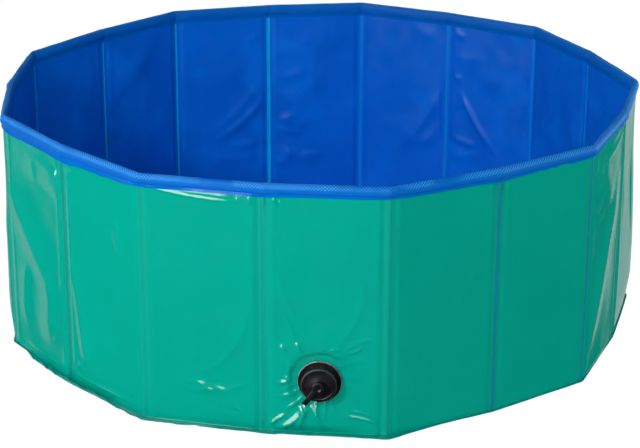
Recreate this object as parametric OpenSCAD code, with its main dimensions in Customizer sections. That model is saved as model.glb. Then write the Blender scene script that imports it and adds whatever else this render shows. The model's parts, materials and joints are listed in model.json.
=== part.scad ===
// Foldable pet bathtub. Stiff boards are sealed between a green outer skin and
// a blue inner skin, and the welded strips between them are the fold lines.
// The wall stands on a floor sheet and has a screw drain low in its front panel.
//
// Row frame: origin on the ground at the centre of the floor, +Z up.
// Panel 1 is the front panel: it faces -Y and carries the drain.
// Panels are numbered counter-clockwise seen from above.

/* [Tub] */
// Diameter across the corners when the wall stands fully round
pool_d = 800; // [600:10:1200]
// Height of the rim above the ground
wall_h = 300; // [200:5:320]
// Number of wall panels, always even
panels = 18; // [12:2:18]
// Angle by which neighbouring corners of the standing wall zigzag
rest_zigzag = 12; // [0:1:24]

/* [Wall] */
// Thickness of the stiff board in each panel
board_t = 3; // [2:0.1:5]
// Corner radius of a board
board_r = 8; // [3:0.5:15]
// Thickness of each vinyl skin of the wall
skin_t = 0.7; // [0.4:0.05:1.2]
// Slack between a board and the skins around it
board_slack = 0.2; // [0.1:0.05:0.4]
// Width of the welded strip from a fold line to the board pocket
strip_w = 5; // [3:0.5:8]
// Width over which a pocket swells from the strip to its full thickness
swell_w = 6; // [5:0.5:10]
// Gap from a fold line to the edge of the welded strip
fold_gap = 0.25; // [0.15:0.05:0.4]

/* [Rim] */
// Height of the folded-over rim on the outside
rim_h = 15; // [12:0.5:25]
// How far the rim bulges beyond the outer skin
rim_bulge = 2.4; // [1.5:0.1:4]
// Height of the flat welded edge below the bulge
rim_edge_h = 4; // [2:0.5:6]

/* [Floor] */
// Thickness of the floor sheet
floor_t = 1; // [0.6:0.1:2]
// Width of the hem that the floor sheet leaves around the wall
hem_w = 7; // [3:0.5:12]
// Gap under the wall, in which it slides over the floor sheet
floor_gap = 0.3; // [0.2:0.05:0.5]

/* [Drain] */
// Height of the drain's axis above the ground
drain_z = 67; // [45:1:100]
// Sideways place of the drain from the middle of the front panel
drain_shift = -5.5; // [-15:0.5:15]
// Bore of the drain
bore_d = 24; // [16:0.5:26]
// Outer diameter of the threaded barrel that passes through the wall
barrel_d = 30; // [28:0.5:34]
// Diameter of the outer flange
flange_d = 50; // [46:0.5:60]
// Thickness of the outer flange
flange_t = 2.5; // [2:0.1:4]
// Outer diameter of the rubber washers
washer_d = 46; // [40:0.5:46]
// Thickness of a rubber washer
washer_t = 1.5; // [1:0.1:2.5]
// Diameter of the ring nut on the inside
nut_d = 44; // [40:0.5:50]
// Thickness of the ring nut
nut_t = 6; // [4:0.5:8]
// Number of finger notches in the ring nut
nut_notches = 8; // [4:1:12]
// Outer diameter of the spout that the cap screws on
spout_d = 33; // [30:0.5:34]
// Height of the spout above the flange
spout_h = 8; // [6:0.5:12]

/* [Cap] */
// Diameter of the screw cap
cap_d = 43; // [40:0.5:46]
// Thickness of the cap's end wall
cap_end_t = 2.2; // [1.5:0.1:4]
// Number of grip flutes around the cap
cap_flutes = 30; // [12:1:36]
// Radius of a grip flute
flute_r = 1.3; // [0.8:0.1:1.6]
// Diameter of the knob in the middle of the cap
knob_d = 13; // [11:0.5:16]
// Height of the knob's head
knob_t = 5; // [2:0.5:7]
// Diameter of the neck under the knob
neck_d = 8; // [6:0.5:9]
// Width of the strap that is clipped under the knob
strap_w = 6; // [4:0.5:9]
// Thickness of the strap
strap_t = 1.6; // [1:0.1:2.5]
// Reach of the strap beyond the flange
strap_reach = 5; // [4:0.5:20]
// Direction of the strap on the front, counter-clockwise from sideways
strap_turn = 237; // [0:1:359]
// Clearance around threads and between the cap's moving pieces
screw_gap = 0.3; // [0.2:0.05:0.4]

/* [Hidden] */
$fn = 64;
swell_steps = 6;

// Wall in plan. A panel's own frame has x along the panel, from its inner
// corner to its outer corner, y towards the inside of the tub, and its middle
// plane at y = 0. The fold line of an inner corner lies in the outer face, and
// that of an outer corner in the inner face, so the wall folds almost flat.
turn = 360 / panels;
panel_l = pool_d * sin(turn / 2);
wall_t = board_t + 2 * (skin_t + board_slack);
face_y = wall_t / 2;
tilt = atan(wall_t / panel_l);
link_l = norm([panel_l, wall_t]);
link_zigzag = rest_zigzag - 2 * tilt;
outer_corner_r = link_l * sin(90 - turn / 2 + link_zigzag / 2) / sin(turn);
inner_corner_r = link_l * sin(90 - turn / 2 - link_zigzag / 2) / sin(turn);
first_corner = rest_zigzag / 2 + turn / 2 - 90;

// Heights
wall_z = floor_t + floor_gap;
rim_z = wall_h - rim_h;
bulge_z = rim_z + rim_edge_h;
rim_r = face_y + rim_bulge / 2;
rim_mid_y = -rim_bulge / 2;
rim_top_z = wall_h - rim_r;
board_z = wall_z + skin_t + board_slack;
board_top_z = wall_h - rim_r;

// Lengths along a panel
pocket_x = strip_w + swell_w;
board_x = pocket_x + board_slack;
// The rim's inner edge steps back so that a fully round wall doesn't pinch it
rim_back = wall_t * tan(turn / 2) + fold_gap;
// The bulge tapers towards the inner corner, where outer faces fold together
bulge_taper = 3 * rim_bulge;

// Drain: distances outwards from the outer face of the front panel
drain_x = panel_l / 2 + drain_shift;
flange_out = washer_t + flange_t;
spout_out = flange_out + spout_h;
cap_in = flange_out + screw_gap;
cap_roof = spout_out + screw_gap;
cap_out = cap_roof + cap_end_t;
strap_in = cap_out + screw_gap;
knob_in = strap_in + strap_t + screw_gap;
knob_out = knob_in + knob_t;
nut_in = -wall_t - washer_t;
barrel_in = nut_in - nut_t - 1;
hole_r = barrel_d / 2 + screw_gap;
strap_l = flange_d / 2 + strap_reach;

green = [0.0, 0.62, 0.54];
blue = [0.02, 0.32, 0.72];
black = [0.06, 0.06, 0.07];
rubber = [0.15, 0.15, 0.16];
fibreboard = [0.72, 0.62, 0.48];

function panel_node(piece, n) = str(piece, n < 10 ? "_0" : "_", n);

// ---- placing ----

// Moves a panel's own frame to the front panel's place
module at_front() {
    translate([
        outer_corner_r * cos(first_corner) - panel_l,
        outer_corner_r * sin(first_corner) - face_y,
        0
    ])
        children();
}

// Every second panel mirrors its neighbour across the corner between them
module at_panel(n) {
    if (n % 2 == 1)
        rotate(turn * (n - 1))
            at_front() children();
    else
        rotate(turn * (n - 2))
            mirror([-sin(first_corner), cos(first_corner), 0])
                at_front() children();
}

// Turns a revolved profile so that its axis leaves the front panel outwards
module at_drain() {
    at_front()
        translate([drain_x, -face_y, drain_z])
            rotate([90, 0, 0])
                children();
}

// ---- wall ----

function ease(k) = k * k * (3 - 2 * k);

// Plan line of a skin: level at y0, then a soft swell to y1 that starts at x_turn
function skin_line(x_turn, y0, y1) = concat(
    [[fold_gap, y0]],
    [for (i = [0:swell_steps])
        [x_turn + swell_w * i / swell_steps, y0 + (y1 - y0) * ease(i / swell_steps)]],
    [[panel_l - fold_gap, y1]]
);

module skin(line, z0, z1) {
    back = [for (i = [len(line) - 1:-1:0]) line[i] + [0, skin_t]];
    translate([0, 0, z0])
        linear_extrude(z1 - z0)
            polygon(concat(line, back));
}

module drain_hole() {
    translate([drain_x, 0, drain_z])
        rotate([90, 0, 0])
            cylinder(r = hole_r, h = 2 * wall_t, center = true);
}

module rounded_rect(w, h, r) {
    translate([r, 0]) square([w - 2 * r, h]);
    translate([0, r]) square([w, h - 2 * r]);
    for (x = [r, w - r], y = [r, h - r])
        translate([x, y]) circle(r);
}

module board(n) {
    color(fibreboard) at_panel(n)
        difference() {
            translate([board_x, board_t / 2, board_z])
                rotate([90, 0, 0])
                    linear_extrude(board_t)
                        rounded_rect(panel_l - 2 * board_x, board_top_z - board_z, board_r);
            if (n == 1) drain_hole();
        }
}

module cover(n) {
    color(green) at_panel(n)
        difference() {
            skin(
                skin_line(panel_l - pocket_x, -face_y, face_y - 2 * skin_t),
                wall_z, rim_top_z
            );
            if (n == 1) drain_hole();
        }
}

// Section of the rim across the wall: the inner skin folded over the top edge,
// bulging over the outer skin and ending in a flat welded edge
module rim_section() {
    difference() {
        union() {
            translate([rim_mid_y, rim_top_z]) circle(rim_r);
            translate([-face_y - rim_bulge, bulge_z])
                square([2 * rim_r, rim_top_z - bulge_z]);
        }
        translate([rim_mid_y, rim_top_z]) circle(rim_r - skin_t);
        translate([-face_y - rim_bulge + skin_t, bulge_z + skin_t])
            square([2 * (rim_r - skin_t), rim_top_z - bulge_z - skin_t]);
        translate([-face_y, rim_z])
            square([wall_t - skin_t, rim_top_z - rim_z]);
    }
    translate([-face_y - skin_t, rim_z])
        square([skin_t, rim_edge_h + skin_t]);
}

// Plan of the rim, held back where the folding wall would pinch it
module rim_plan() {
    polygon([
        [fold_gap, -face_y],
        [fold_gap + bulge_taper, -face_y - rim_bulge],
        [panel_l - fold_gap, -face_y - rim_bulge],
        [panel_l - fold_gap, face_y],
        [rim_back, face_y]
    ]);
}

module rim() {
    intersection() {
        rotate([90, 0, 90])
            linear_extrude(panel_l)
                rim_section();
        translate([0, 0, rim_z - 1])
            linear_extrude(rim_h + 2)
                rim_plan();
    }
}

module liner(n) {
    color(blue) at_panel(n)
        difference() {
            union() {
                skin(
                    skin_line(strip_w, -face_y + skin_t, face_y - skin_t),
                    wall_z, rim_top_z
                );
                rim();
                // The turned-under edge that closes the pocket below the board
                translate([pocket_x, -face_y + skin_t, wall_z])
                    cube([panel_l - 2 * pocket_x, wall_t - skin_t, skin_t]);
            }
            if (n == 1) drain_hole();
        }
}

// ---- floor ----

// Corners of the floor sheet, a hem's width outside the wall's outer face
function floor_corner(n) =
    let (
        outer = n % 2 == 1,
        r = outer
            ? outer_corner_r + (wall_t + hem_w) / cos((turn + rest_zigzag) / 2)
            : inner_corner_r + hem_w / cos((turn - rest_zigzag) / 2),
        a = first_corner + turn * (n - 1)
    )
    r * [cos(a), sin(a)];

module floor_sheet() {
    color(blue)
        linear_extrude(floor_t)
            polygon([for (n = [1:panels]) floor_corner(n)]);
}

// ---- drain ----

// Ring about the drain's axis between two distances from the wall
module ring(r_in, r_out, from, to) {
    translate([0, 0, from])
        difference() {
            cylinder(r = r_out, h = to - from);
            translate([0, 0, -1])
                cylinder(r = r_in, h = to - from + 2);
        }
}

module drain_body() {
    chamfer = 0.6;
    color(black) at_drain()
        rotate_extrude()
            polygon([
                [bore_d / 2, barrel_in],
                [barrel_d / 2 - chamfer, barrel_in],
                [barrel_d / 2, barrel_in + chamfer],
                [barrel_d / 2, washer_t],
                [flange_d / 2, washer_t],
                [flange_d / 2, flange_out - chamfer],
                [flange_d / 2 - chamfer, flange_out],
                [spout_d / 2, flange_out],
                [spout_d / 2, spout_out - chamfer],
                [spout_d / 2 - chamfer, spout_out],
                [bore_d / 2, spout_out]
            ]);
}

module drain_nut() {
    notch_r = 3;
    color(black) at_drain()
        difference() {
            ring(hole_r, nut_d / 2, nut_in - nut_t, nut_in);
            for (i = [0:nut_notches - 1])
                rotate(360 * i / nut_notches)
                    translate([nut_d / 2 + notch_r / 3, 0, nut_in - nut_t - 1])
                        cylinder(r = notch_r, h = nut_t + 2);
        }
}

module drain_washers() {
    color(rubber) at_drain()
        for (from = [0, nut_in])
            ring(hole_r, washer_d / 2, from, from + washer_t);
}

module drain_cap() {
    chamfer = 1;
    spin = [
        [spout_d / 2 + screw_gap, cap_in],
        [cap_d / 2, cap_in],
        [cap_d / 2, cap_out - chamfer],
        [cap_d / 2 - chamfer, cap_out],
        [neck_d / 2, cap_out],
        [neck_d / 2, knob_in],
        [knob_d / 2 - chamfer, knob_in],
        [knob_d / 2, knob_in + chamfer],
        [knob_d / 2, knob_out - chamfer],
        [knob_d / 2 - chamfer, knob_out],
        [0, knob_out],
        [0, cap_roof],
        [spout_d / 2 + screw_gap, cap_roof]
    ];
    color(black) at_drain()
        difference() {
            rotate_extrude()
                polygon(spin);
            for (i = [0:cap_flutes - 1])
                rotate(360 * i / cap_flutes)
                    translate([cap_d / 2 + flute_r / 2, 0, cap_in - 1])
                        cylinder(r = flute_r, h = cap_out - cap_in - 1);
        }
}

// A ring under the knob and an arm that runs out over the cap's edge and
// bends back towards the wall
module cap_strap() {
    ring_wall = 3;
    bend_x = cap_d / 2 + screw_gap;
    drop = strap_reach * 0.9;
    arm = [
        [neck_d / 2 + screw_gap + ring_wall / 2, strap_in],
        [bend_x, strap_in],
        [strap_l - strap_t / 2, strap_in - drop],
        [strap_l, strap_in - drop + strap_t],
        [bend_x + strap_t / 2, strap_in + strap_t],
        [neck_d / 2 + screw_gap + ring_wall / 2, strap_in + strap_t]
    ];
    color(black) at_drain()
        rotate(strap_turn) {
            ring(
                neck_d / 2 + screw_gap, neck_d / 2 + screw_gap + ring_wall,
                strap_in, strap_in + strap_t
            );
            translate([0, strap_w / 2, 0])
                rotate([90, 0, 0])
                    linear_extrude(strap_w)
                        polygon(arm);
        }
}

for (n = [1:panels]) {
    board(n);
    cover(n);
    liner(n);
}
floor_sheet();
drain_body();
drain_nut();
drain_washers();
drain_cap();
cap_strap();
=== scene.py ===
# Foldable pet bathtub: a wall of eighteen stiff panels between a green and a blue vinyl skin,
# a folded-over rim, a loose floor sheet and a screw drain. Everything is in metres.
import bmesh
import bpy
import json
import math
import random
from mathutils import Matrix, Vector, noise


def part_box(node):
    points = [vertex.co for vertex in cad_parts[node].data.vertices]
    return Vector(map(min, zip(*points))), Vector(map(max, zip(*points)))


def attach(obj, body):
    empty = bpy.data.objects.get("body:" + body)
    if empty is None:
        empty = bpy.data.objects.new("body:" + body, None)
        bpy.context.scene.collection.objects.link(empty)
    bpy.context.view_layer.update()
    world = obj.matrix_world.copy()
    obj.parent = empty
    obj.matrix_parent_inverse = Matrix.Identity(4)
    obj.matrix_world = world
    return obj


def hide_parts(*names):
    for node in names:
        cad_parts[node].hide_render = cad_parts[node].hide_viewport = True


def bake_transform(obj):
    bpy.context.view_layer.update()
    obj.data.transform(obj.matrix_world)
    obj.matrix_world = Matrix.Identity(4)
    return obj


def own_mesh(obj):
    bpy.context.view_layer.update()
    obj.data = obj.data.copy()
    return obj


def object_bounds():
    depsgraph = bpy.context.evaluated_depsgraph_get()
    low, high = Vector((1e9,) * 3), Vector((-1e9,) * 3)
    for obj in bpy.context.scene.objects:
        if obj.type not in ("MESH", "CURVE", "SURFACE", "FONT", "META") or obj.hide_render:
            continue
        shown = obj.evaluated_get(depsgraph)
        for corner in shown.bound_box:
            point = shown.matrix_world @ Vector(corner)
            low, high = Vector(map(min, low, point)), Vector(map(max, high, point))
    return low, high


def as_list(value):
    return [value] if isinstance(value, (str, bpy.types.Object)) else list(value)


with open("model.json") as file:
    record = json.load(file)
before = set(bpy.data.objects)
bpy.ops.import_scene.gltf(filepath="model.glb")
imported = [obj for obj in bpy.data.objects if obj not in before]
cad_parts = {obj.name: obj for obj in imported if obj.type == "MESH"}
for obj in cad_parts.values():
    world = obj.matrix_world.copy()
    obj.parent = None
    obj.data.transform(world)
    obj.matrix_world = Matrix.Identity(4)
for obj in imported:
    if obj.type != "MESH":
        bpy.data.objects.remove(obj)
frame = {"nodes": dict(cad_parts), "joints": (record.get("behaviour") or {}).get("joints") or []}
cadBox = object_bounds()
scene = bpy.context.scene
mm = 0.001

# Places that everything else is set out from
joints = {j["name"]: j for j in frame["joints"]}
creaseOut = Vector(joints["fold_01_02"]["pos_m"][:2])    # outer corner after panel 1, in the inner face
creaseIn = Vector(joints["fold_01_18"]["pos_m"][:2])     # inner corner before panel 1, in the outer face
panelLength = creaseOut.x - creaseIn.x
wallHalf = (creaseOut.y - creaseIn.y) / 2
midY = (creaseOut.y + creaseIn.y) / 2
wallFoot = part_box("cover_01")[0].z
wallTop = cadBox[1].z
rimFoot = wallTop - 15 * mm
drainLow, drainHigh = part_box("drain_body")
drainAxis = Vector(((drainLow.x + drainHigh.x) / 2, creaseIn.y, (drainLow.z + drainHigh.z) / 2))
panelCount = 18
panelTurn = 360 / panelCount                             # degrees

wall = {
    "strip": 5 * mm,          # from a fold line to the edge of the pocket
    "swell": 6 * mm,          # over which the pocket rises
    "weldDrop": 1.25 * mm,    # how far the welded strip lies below the pocket
    "skin": 0.7 * mm,
    "boardClear": 1.66 * mm,  # no fold dips below this, because of the board
}


def ease(k):
    k = min(max(k, 0.0), 1.0)
    return k * k * (3 - 2 * k)


def ripple(x, y, z, size):
    return noise.noise(Vector((x, y, z)) / size)


# A line through a few chosen points, rounded between them
def smoothLine(points, steps):
    pts = [Vector(p) for p in points]
    pts = [2 * pts[0] - pts[1]] + pts + [2 * pts[-1] - pts[-2]]
    line = []
    for a, b, c, d in zip(pts, pts[1:], pts[2:], pts[3:]):
        for i in range(steps):
            t = i / steps
            line.append(0.5 * (2 * b + (c - a) * t + (2 * a - 5 * b + 4 * c - d) * t * t
                               + (3 * b - 3 * c + d - a) * t ** 3))
    return line + [pts[-2]]


# Stations from a to b, closer together within the given width of each end
def stations(a, b, edge, fine, coarse):
    line = [a + edge * i / fine for i in range(fine)]
    count = max(2, round((b - a - 2 * edge) / coarse))
    line += [a + edge + (b - a - 2 * edge) * i / count for i in range(count)]
    return line + [b - edge + edge * i / fine for i in range(fine + 1)]


# Panels are numbered counter-clockwise from the front one. Odd ones are turned copies of panel 1, even
# ones are mirrored. A panel's own x runs from its inner corner to its outer corner.
def panelMatrix(n):
    front = Matrix.Translation((creaseIn.x, midY, 0))
    if n % 2:
        return Matrix.Rotation(math.radians(panelTurn * (n - 1)), 4, "Z") @ front
    ray = math.atan2(creaseOut.y, creaseOut.x)
    mirror = Matrix.Scale(-1, 4, Vector((-math.sin(ray), math.cos(ray), 0)))
    return Matrix.Rotation(math.radians(panelTurn * (n - 2)), 4, "Z") @ mirror @ front


def bodyOf(n):
    return "base" if n == 1 else f"panel_{n:02d}"


# Corner number n lies after panel n: odd ones stand out, even ones stand in. Each turns the wall by an angle,
# and two of them together by two panels' share of the ring.
zigzag = math.radians(12)
cornerOut, cornerIn = math.radians(panelTurn) + zigzag, math.radians(panelTurn) - zigzag
corners = {
    "out": {"crease": creaseOut, "level": -wallHalf, "angle": cornerOut, "heading": 0.0},
    "in": {"crease": creaseIn, "level": wallHalf, "angle": cornerIn, "heading": -cornerIn},
}


def cornerKind(n):
    return "out" if n % 2 else "in"


def cornerMatrix(n):
    return Matrix.Rotation(math.radians(panelTurn * (n - n % 2)), 4, "Z")


def nextPanel(n):
    return n % panelCount + 1


# Level line round one corner: (point, outward direction, distance from the corner) for each station
def ringPath(kind, reach, offset, bend, step, bendSteps=8):
    corner = corners[kind]
    half = corner["angle"] / 2
    beyond = offset - corner["level"]
    tangent = bend * math.tan(half)
    leg = reach + beyond * math.tan(half)
    radial = corner["crease"].normalized()
    apex = corner["crease"] + radial * beyond / math.cos(half)

    def direction(angle):
        return Vector((math.cos(angle), math.sin(angle)))

    start, end = corner["heading"], corner["heading"] + corner["angle"]
    count = max(1, round((leg - tangent) / step))
    near = [(leg - tangent) * (i / count) ** 0.8 for i in range(count + 1)]
    path = []
    for d in near[:-1]:
        path.append((apex - direction(start) * (leg - d), start, -(leg - d)))
    centre = apex - radial * bend / math.cos(half)
    for i in range(bendSteps + 1):
        angle = start + (end - start) * i / bendSteps
        outward = Vector((math.sin(angle), -math.cos(angle)))
        path.append((centre + outward * bend, angle, tangent * (2 * i / bendSteps - 1)))
    for d in reversed(near[:-1]):
        path.append((apex + direction(end) * (leg - d), end, leg - d))
    return [(Vector((p.x, p.y, 0)), Vector((math.sin(a), -math.cos(a), 0)), s) for p, a, s in path]


# Adds a node. values are links or plain settings of its inputs, by name or number
def addNode(tree, kind, values=None, **settings):
    node = tree.nodes.new(kind)
    for key, value in settings.items():
        setattr(node, key, value)
    for key, value in (values or {}).items():
        if isinstance(value, bpy.types.NodeSocket):
            tree.links.new(value, node.inputs[key])
        else:
            node.inputs[key].default_value = value
    return node


def newTree(name, sockets):
    tree = bpy.data.node_groups.new(name, "GeometryNodeTree")
    for label, kind in [("Geometry", "Geometry")] + sockets + [("Finish", "Material")]:
        tree.interface.new_socket(label, in_out="INPUT", socket_type="NodeSocket" + kind)
    tree.interface.new_socket("Geometry", in_out="OUTPUT", socket_type="NodeSocketGeometry")
    return tree, addNode(tree, "NodeGroupInput").outputs


def endTree(tree, start, shape):
    real = addNode(tree, "GeometryNodeRealizeInstances", {0: shape}).outputs[0]
    done = addNode(tree, "GeometryNodeSetMaterial", {0: real, "Material": start["Finish"]}).outputs[0]
    addNode(tree, "NodeGroupOutput", {0: done})
    return tree


# Puts a tree on an object, keeps the result as a plain mesh, and clears away what it was made from
def runTree(obj, tree, inputs):
    modifier = obj.modifiers.new("shape", "NODES")
    modifier.node_group = tree
    for item in tree.interface.items_tree:
        if item.item_type == "SOCKET" and item.in_out == "INPUT" and item.name in inputs:
            modifier[item.identifier] = inputs[item.name]
    graph = bpy.context.evaluated_depsgraph_get()
    mesh = bpy.data.meshes.new_from_object(obj.evaluated_get(graph))
    for used in [obj] + [value for value in inputs.values() if isinstance(value, bpy.types.Object)]:
        data = used.data
        bpy.data.objects.remove(used)
        (bpy.data.curves if isinstance(data, bpy.types.Curve) else bpy.data.meshes).remove(data)
    return mesh


# Keeps each point's distance along its curve
def capture(tree, curve):
    node = addNode(tree, "GeometryNodeCaptureAttribute")
    node.capture_items.new("FLOAT", "Value")
    tree.links.new(curve, node.inputs[0])
    tree.links.new(addNode(tree, "GeometryNodeSplineParameter").outputs["Length"], node.inputs[1])
    return node.outputs


# Sweeps a section along a path; the surface map is the distance along each of them
def makeSweepTree():
    tree, start = newTree("sweepAlongPath", [("Section", "Object")])
    along = capture(tree, start["Geometry"])
    section = addNode(tree, "GeometryNodeObjectInfo", {0: start["Section"]})
    around = capture(tree, section.outputs["Geometry"])
    sheet = addNode(tree, "GeometryNodeCurveToMesh", {"Curve": along[0], "Profile Curve": around[0]})
    surface = addNode(tree, "ShaderNodeCombineXYZ", {0: along[1], 1: around[1]})
    store = addNode(tree, "GeometryNodeStoreNamedAttribute",
                    {"Geometry": sheet.outputs[0], "Name": "surface", "Value": surface.outputs[0]},
                    data_type="FLOAT2", domain="CORNER")
    return endTree(tree, start, store.outputs[0])


sweepTree = makeSweepTree()


def addObject(name, data):
    obj = bpy.data.objects.new(name, data)
    scene.collection.objects.link(obj)
    return obj


def lineObject(points, cyclic=False):
    curve = bpy.data.curves.new("line", "CURVE")
    curve.dimensions = "3D"
    spline = curve.splines.new("POLY")
    spline.points.add(len(points) - 1)
    for point, co in zip(spline.points, points):
        point.co = (*co, 1)
    spline.use_cyclic_u = cyclic
    return addObject("line", curve)


# A sheet swept along a path. A section is a list of (outwards, up); it runs down an outside and up an
# inside. shape(s, sectionPoint, place) gives how far a point moves outwards and up. The sheet's map runs
# along the path as a distance from the corner, plus the given start.
def makeSheet(name, path, section, material, shape, matrix, thick, start=0.0):
    mesh = runTree(lineObject([p for p, _, _ in path]), sweepTree,
                   {"Section": lineObject([(u, -z, 0) for u, z in section]), "Finish": material})
    count = len(section)
    flip = -1 if matrix.determinant() < 0 else 1
    uvs = mesh.uv_layers["surface"].uv
    for loop in mesh.loops:
        uvs[loop.index].vector.x = flip * path[loop.vertex_index // count][2] + start
    for i, (_, outward, s) in enumerate(path):
        for j in range(count):
            vertex = mesh.vertices[i * count + j]
            out, up = shape(s, section[j], matrix @ vertex.co)
            vertex.co += outward * out + Vector((0, 0, up))
    mesh.transform(matrix)
    if flip < 0:
        mesh.flip_normals()
    return finishSheet(name, mesh, thick)


def finishSheet(name, mesh, thick):
    mesh.name = name
    mesh.shade_smooth()
    uses = {}
    for face in mesh.polygons:
        for key in face.edge_keys:
            uses[key] = uses.get(key, 0) + 1
    for edge in mesh.edges:
        edge.use_edge_sharp = uses.get(edge.key, 0) < 2
    obj = addObject(name, mesh)
    solid = obj.modifiers.new("thickness", "SOLIDIFY")
    solid.thickness, solid.offset = thick, -1
    return obj


# Every finish starts from a colour, a roughness and a gloss
def newMaterial(name, colour, roughness, specular):
    material = bpy.data.materials.new(name)
    material.use_nodes = True
    material.diffuse_color = (*colour, 1)
    tree = material.node_tree
    shader = tree.nodes["Principled BSDF"].inputs
    shader["Base Color"].default_value = (*colour, 1)
    shader["Roughness"].default_value = roughness
    shader["Specular IOR Level"].default_value = specular
    return material, tree, shader, addNode(tree, "ShaderNodeTexCoord").outputs["Object"]


def mathNode(tree, operation, a, b=0.0):
    return addNode(tree, "ShaderNodeMath", {0: a, 1: b}, operation=operation).outputs[0]


def times(tree, a, b):
    return mathNode(tree, "MULTIPLY", a, b)


def vectorNode(tree, operation, a, b, output="Vector"):
    return addNode(tree, "ShaderNodeVectorMath", {0: a, 1: b}, operation=operation).outputs[output]


# Where the factor is 1 the second colour shows
def mixColour(tree, factor, first, second):
    first, second = [(*c, 1) if isinstance(c, tuple) else c for c in (first, second)]
    return addNode(tree, "ShaderNodeMix", {0: factor, 6: first, 7: second}, data_type="RGBA").outputs[2]


def noiseNode(tree, place, scale, detail=2.0):
    return addNode(tree, "ShaderNodeTexNoise", {"Vector": place, "Scale": scale, "Detail": detail}).outputs[0]


def rangeNode(tree, value, low, high, toLow=0.0, toHigh=1.0):
    return addNode(tree, "ShaderNodeMapRange", {0: value, 1: low, 2: high, 3: toLow, 4: toHigh},
                   interpolation_type="SMOOTHSTEP").outputs[0]


def bumpNode(tree, height, strength, distance, under=None):
    values = {"Height": height, "Strength": strength, "Distance": distance}
    if under:
        values["Normal"] = under
    return addNode(tree, "ShaderNodeBump", values).outputs[0]


# The sheet's own map: along the wall, and down it
def surfaceMap(tree):
    place = addNode(tree, "ShaderNodeUVMap", uv_map="surface").outputs[0]
    return addNode(tree, "ShaderNodeSeparateXYZ", {0: place}).outputs


# Two crossing sets of threads that show through the coating, as a height from -1 to 1
def weaveHeight(tree, u, v, pitch, cross):
    turns = 2 * math.pi / pitch * math.sqrt(0.5)
    rising = mathNode(tree, "SINE", times(tree, mathNode(tree, "ADD", u, v), turns))
    falling = mathNode(tree, "SINE", times(tree, mathNode(tree, "SUBTRACT", u, v), turns))
    return mathNode(tree, "ADD", times(tree, rising, 1 - cross), times(tree, falling, cross))


# Coated fabric: a smooth film over a scrim of crossing threads. threads is a paler thread colour shown in
# noise patches, partly the scrim's own colour and partly a painted sheen where the weave catches grazing
# light. zone is the band where the threads show, matt the band with a roughness of its own, both as distances
# down the sheet's map.
def vinyl(name, colour, shade, roughness, specular, weave, film, pitch=2.8 * mm, threadsAndSheen=None,
          sheenPatches=(0.5, 0.62), zone=None, matt=None, cross=0.3):
    material, tree, shader, place = newMaterial(name, colour, roughness, specular)
    cloud = noiseNode(tree, place, 9.0, 3.0)
    base = mixColour(tree, rangeNode(tree, cloud, 0.35, 0.65), shade, colour)
    along, down = surfaceMap(tree)[:2]
    height = weaveHeight(tree, along, down, pitch, cross)
    # Painted sheen: the paler thread colour is mixed in only in noise patches and, on the rim, in the band
    # over the top
    if threadsAndSheen:
        sheenPatch = rangeNode(tree, noiseNode(tree, place, 14.0), *sheenPatches)
        if zone:
            sheenPatch = times(tree, sheenPatch, times(tree, rangeNode(tree, down, zone[0], zone[0] + 1 * mm),
                                             rangeNode(tree, down, zone[1] - 3 * mm, zone[1], 1.0, 0.0)))
        base = mixColour(tree, times(tree, sheenPatch, rangeNode(tree, height, 0.0, 0.6)), base, threadsAndSheen)
    tree.links.new(base, shader["Base Color"])
    rough = rangeNode(tree, noiseNode(tree, place, 40.0, 3.0), 0.3, 0.7, roughness * 0.8, roughness * 1.25)
    if matt:                                   # smooth along the welded edges, matt between them
        above = rangeNode(tree, down, matt[0], matt[0] + 1 * mm, 0.0, matt[2] - roughness)
        below = rangeNode(tree, down, matt[1] - 0.5 * mm, matt[1], 1.0, 0.0)
        rough = mathNode(tree, "ADD", rough, times(tree, above, below))
    tree.links.new(rough, shader["Roughness"])
    soft = bumpNode(tree, noiseNode(tree, place, 55.0), film, 0.6 * mm)
    grain = bumpNode(tree, noiseNode(tree, place, 900.0), 0.12, 0.05 * mm, soft)
    tree.links.new(bumpNode(tree, height, weave, 0.06 * mm, grain), shader["Normal"])
    return material


# A weld pressed through both skins: its own colour along the middle, with the welding bar's fine lines
def weld(name, edge, middle, roughness, specular, half=2.0 * mm):
    material, tree, shader, place = newMaterial(name, middle, roughness, specular)
    stretched = vectorNode(tree, "MULTIPLY", place, (1, 1, 0.25))
    across = surfaceMap(tree)[0]
    wander = mathNode(tree, "SUBTRACT", noiseNode(tree, stretched, 60.0, 3.0), 0.5)
    away = mathNode(tree, "ABSOLUTE", mathNode(tree, "ADD", across, times(tree, wander, 1.2 * mm)))
    band = rangeNode(tree, away, half, 1.5 * half, 1.0, 0.0)
    tree.links.new(mixColour(tree, band, edge, middle), shader["Base Color"])
    line = mathNode(tree, "SINE", times(tree, across, 2 * math.pi / (1.1 * mm)))
    soft = bumpNode(tree, noiseNode(tree, stretched, 150.0), 0.25, 0.4 * mm)
    tree.links.new(bumpNode(tree, line, 0.25, 0.05 * mm, soft), shader["Normal"])
    return material
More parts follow.
